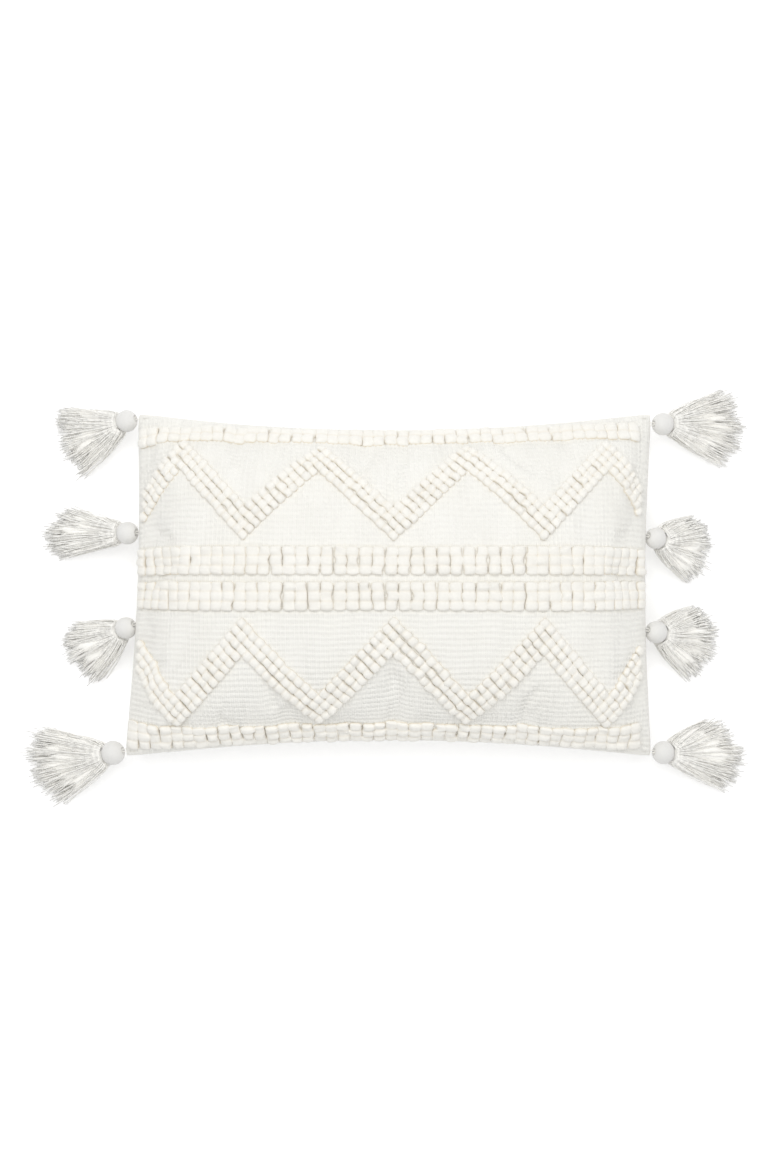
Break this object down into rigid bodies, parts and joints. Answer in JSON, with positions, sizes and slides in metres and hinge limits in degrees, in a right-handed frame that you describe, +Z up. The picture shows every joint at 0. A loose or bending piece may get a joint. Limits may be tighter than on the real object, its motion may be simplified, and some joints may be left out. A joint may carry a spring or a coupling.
{
  "type": "throw pillow",
  "caption": "Rectangular woven throw pillow with raised loop bands, zipped cover, stuffed insert and swinging side tassels.",
  "frame": {"origin": "middle of the flat patch on the back that the pillow rests on", "axes": "+X along the long edges, +Y towards the top edge, away from the zip, and +Z up out of the patterned front"},
  "size_m": [0.724, 0.4237, 0.1291],
  "materials": {
    "front_cotton": "matte ribbed cotton weave, warm ivory",
    "back_cotton": "matte plain cotton weave, warm ivory",
    "raised_loops": "matte soft cotton roving loops, warm ivory",
    "tassel_cord": "matte twisted cotton cord",
    "tassel_head_thread": "satin wound cotton thread",
    "tassel_binding_thread": "satin wound cotton thread",
    "tassel_yarn": "matte loosely twisted cotton yarn",
    "insert_casing": "matte white non-woven",
    "insert_filling": "soft white fibre",
    "zipper_tape": "matte woven polyester",
    "zipper_coil": "satin nylon",
    "zipper_metal": "satin nickel plate"
  },
  "bodies": {
    "pillow": {"front_panel": "front_cotton", "back_panel": "back_cotton", "top_border": "raised_loops", "upper_zigzag": "raised_loops", "centre_upper_band": "raised_loops", "centre_lower_band": "raised_loops", "lower_zigzag": "raised_loops", "bottom_border": "raised_loops", "insert_front": "insert_casing", "insert_back": "insert_casing", "insert_fill": "insert_filling", "zipper_tape_front": "zipper_tape", "zipper_tape_back": "zipper_tape", "zipper_coil_front": "zipper_coil", "zipper_coil_back": "zipper_coil", "zipper_bottom_stop": "zipper_metal", "zipper_top_stop_front": "zipper_metal", "zipper_top_stop_back": "zipper_metal"},
    "zipper_slider": {"zipper_slider": "zipper_metal"},
    "zipper_pull": {"zipper_pull": "zipper_metal"},
    "loop_left_top": {"tassel_loop_left_top": "tassel_cord"},
    "tassel_left_top": {"tassel_head_left_top": "tassel_head_thread", "tassel_binding_left_top": "tassel_binding_thread", "tassel_skirt_left_top": "tassel_yarn"},
    "loop_left_upper": {"tassel_loop_left_upper": "tassel_cord"},
    "tassel_left_upper": {"tassel_head_left_upper": "tassel_head_thread", "tassel_binding_left_upper": "tassel_binding_thread", "tassel_skirt_left_upper": "tassel_yarn"},
    "loop_left_lower": {"tassel_loop_left_lower": "tassel_cord"},
    "tassel_left_lower": {"tassel_head_left_lower": "tassel_head_thread", "tassel_binding_left_lower": "tassel_binding_thread", "tassel_skirt_left_lower": "tassel_yarn"},
    "loop_left_bottom": {"tassel_loop_left_bottom": "tassel_cord"},
    "tassel_left_bottom": {"tassel_head_left_bottom": "tassel_head_thread", "tassel_binding_left_bottom": "tassel_binding_thread", "tassel_skirt_left_bottom": "tassel_yarn"},
    "loop_right_top": {"tassel_loop_right_top": "tassel_cord"},
    "tassel_right_top": {"tassel_head_right_top": "tassel_head_thread", "tassel_binding_right_top": "tassel_binding_thread", "tassel_skirt_right_top": "tassel_yarn"},
    "loop_right_upper": {"tassel_loop_right_upper": "tassel_cord"},
    "tassel_right_upper": {"tassel_head_right_upper": "tassel_head_thread", "tassel_binding_right_upper": "tassel_binding_thread", "tassel_skirt_right_upper": "tassel_yarn"},
    "loop_right_lower": {"tassel_loop_right_lower": "tassel_cord"},
    "tassel_right_lower": {"tassel_head_right_lower": "tassel_head_thread", "tassel_binding_right_lower": "tassel_binding_thread", "tassel_skirt_right_lower": "tassel_yarn"},
    "loop_right_bottom": {"tassel_loop_right_bottom": "tassel_cord"},
    "tassel_right_bottom": {"tassel_head_right_bottom": "tassel_head_thread", "tassel_binding_right_bottom": "tassel_binding_thread", "tassel_skirt_right_bottom": "tassel_yarn"}
  },
  "joints": [
    {"name": "zipper_travel", "type": "hinge", "parent": "pillow", "child": "zipper_slider", "pos_m": [0, -2.15411, 0.046], "axis": [0, 0, 1], "range_deg": [0, 9.9]},
    {"name": "zipper_pull_flip", "type": "hinge", "parent": "zipper_slider", "child": "zipper_pull", "pos_m": [0.17298, -0.16425, 0.046], "axis": [0, 0, 1], "range_deg": [0, 165]},
    {"name": "lift_left_top", "type": "hinge", "parent": "pillow", "child": "loop_left_top", "pos_m": [-0.26112, 0.17249, 0.03879], "axis": [-0.2588, 0.9659, 0], "range_deg": [0, 70]},
    {"name": "sway_left_top", "type": "hinge", "parent": "loop_left_top", "child": "tassel_left_top", "pos_m": [-0.26416, 0.17168, 0.03752], "axis": [0, 0, 1], "range_deg": [-40, 20]},
    {"name": "lift_left_upper", "type": "hinge", "parent": "pillow", "child": "loop_left_upper", "pos_m": [-0.25961, 0.05398, 0.046], "axis": [-0.0349, 0.9994, 0], "range_deg": [0, 70]},
    {"name": "sway_left_upper", "type": "hinge", "parent": "loop_left_upper", "child": "tassel_left_upper", "pos_m": [-0.26266, 0.05387, 0.0445], "axis": [0, 0, 1], "range_deg": [-40, 34]},
    {"name": "lift_left_lower", "type": "hinge", "parent": "pillow", "child": "loop_left_lower", "pos_m": [-0.26283, -0.03929, 0.046], "axis": [-0.4226, 0.9063, 0], "range_deg": [0, 70]},
    {"name": "sway_left_lower", "type": "hinge", "parent": "loop_left_lower", "child": "tassel_left_lower", "pos_m": [-0.26554, -0.04056, 0.04437], "axis": [0, 0, 1], "range_deg": [-40, 12]},
    {"name": "lift_left_bottom", "type": "hinge", "parent": "pillow", "child": "loop_left_bottom", "pos_m": [-0.27389, -0.16994, 0.03923], "axis": [-0.2419, 0.9703, 0], "range_deg": [0, 70]},
    {"name": "sway_left_bottom", "type": "hinge", "parent": "loop_left_bottom", "child": "tassel_left_bottom", "pos_m": [-0.27699, -0.17072, 0.03808], "axis": [0, 0, 1], "range_deg": [-40, 12]},
    {"name": "lift_right_top", "type": "hinge", "parent": "pillow", "child": "loop_right_top", "pos_m": [0.26716, 0.166, 0.03986], "axis": [0, -1, 0], "range_deg": [0, 70]},
    {"name": "sway_right_top", "type": "hinge", "parent": "loop_right_top", "child": "tassel_right_top", "pos_m": [0.27031, 0.166, 0.03859], "axis": [0, 0, 1], "range_deg": [-40, 28]},
    {"name": "lift_right_upper", "type": "hinge", "parent": "pillow", "child": "loop_right_upper", "pos_m": [0.26159, 0.05136, 0.046], "axis": [-0.2924, -0.9563, 0], "range_deg": [0, 70]},
    {"name": "sway_right_upper", "type": "hinge", "parent": "loop_right_upper", "child": "tassel_right_upper", "pos_m": [0.26433, 0.05052, 0.04418], "axis": [0, 0, 1], "range_deg": [-28, 40]},
    {"name": "lift_right_lower", "type": "hinge", "parent": "pillow", "child": "loop_right_lower", "pos_m": [0.26147, -0.04566, 0.046], "axis": [-0.2419, -0.9703, 0], "range_deg": [0, 70]},
    {"name": "sway_right_lower", "type": "hinge", "parent": "loop_right_lower", "child": "tassel_right_lower", "pos_m": [0.2643, -0.04637, 0.04425], "axis": [0, 0, 1], "range_deg": [-28, 28]},
    {"name": "lift_right_bottom", "type": "hinge", "parent": "pillow", "child": "loop_right_bottom", "pos_m": [0.26758, -0.17154, 0.03896], "axis": [-0.1045, -0.9945, 0], "range_deg": [0, 70]},
    {"name": "sway_right_bottom", "type": "hinge", "parent": "loop_right_bottom", "child": "tassel_right_bottom", "pos_m": [0.27074, -0.17187, 0.03775], "axis": [0, 0, 1], "range_deg": [-28, 40]}
  ]
}
